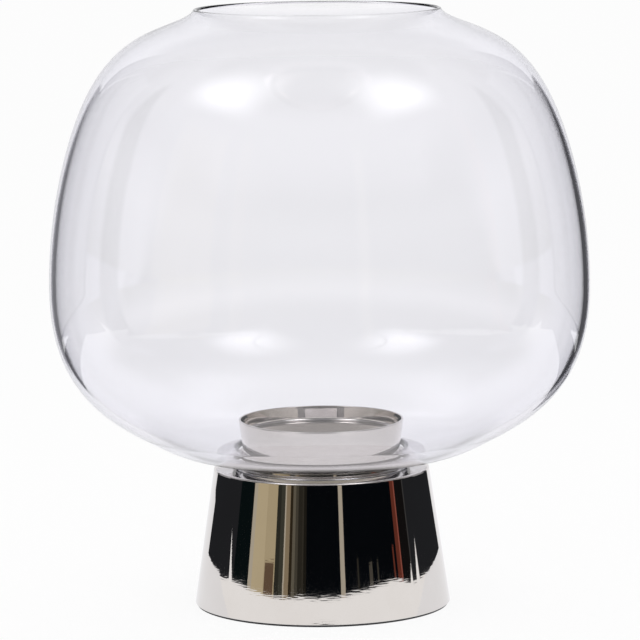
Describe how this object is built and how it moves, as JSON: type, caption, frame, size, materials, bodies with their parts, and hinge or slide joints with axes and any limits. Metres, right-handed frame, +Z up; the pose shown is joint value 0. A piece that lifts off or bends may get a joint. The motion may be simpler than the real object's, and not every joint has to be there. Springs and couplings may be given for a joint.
{
  "type": "footed hurricane candle holder",
  "caption": "Table hurricane: a clear blown glass globe, open at the top, stands loose on a polished metal cone foot round a shallow tray for a pillar candle.",
  "frame": {"origin": "middle of the underside, on the surface that the object stands on", "axes": "+Z up along the axis that the globe, the cup and the foot share"},
  "size_m": [0.256, 0.256, 0.284],
  "materials": {
    "clear_glass": "clear, blown, fire polished",
    "polished_nickel": "mirror polished plate",
    "zinc_steel": "satin",
    "fibreboard": "raw board",
    "dark_felt": "pressed felt"
  },
  "bodies": {
    "base": {"foot_shell": "polished_nickel", "base_disc": "fibreboard", "base_felt": "dark_felt", "candle_cup": "polished_nickel", "cup_stud": "zinc_steel", "clamp_washer": "zinc_steel", "lock_washer": "zinc_steel", "hex_nut": "zinc_steel"},
    "globe": {"glass_globe": "clear_glass"}
  },
  "joints": [
    {"name": "globe_lift", "type": "slide", "parent": "base", "child": "globe", "axis": [0, 0, 1], "range_m": [0, 0.15]}
  ]
}
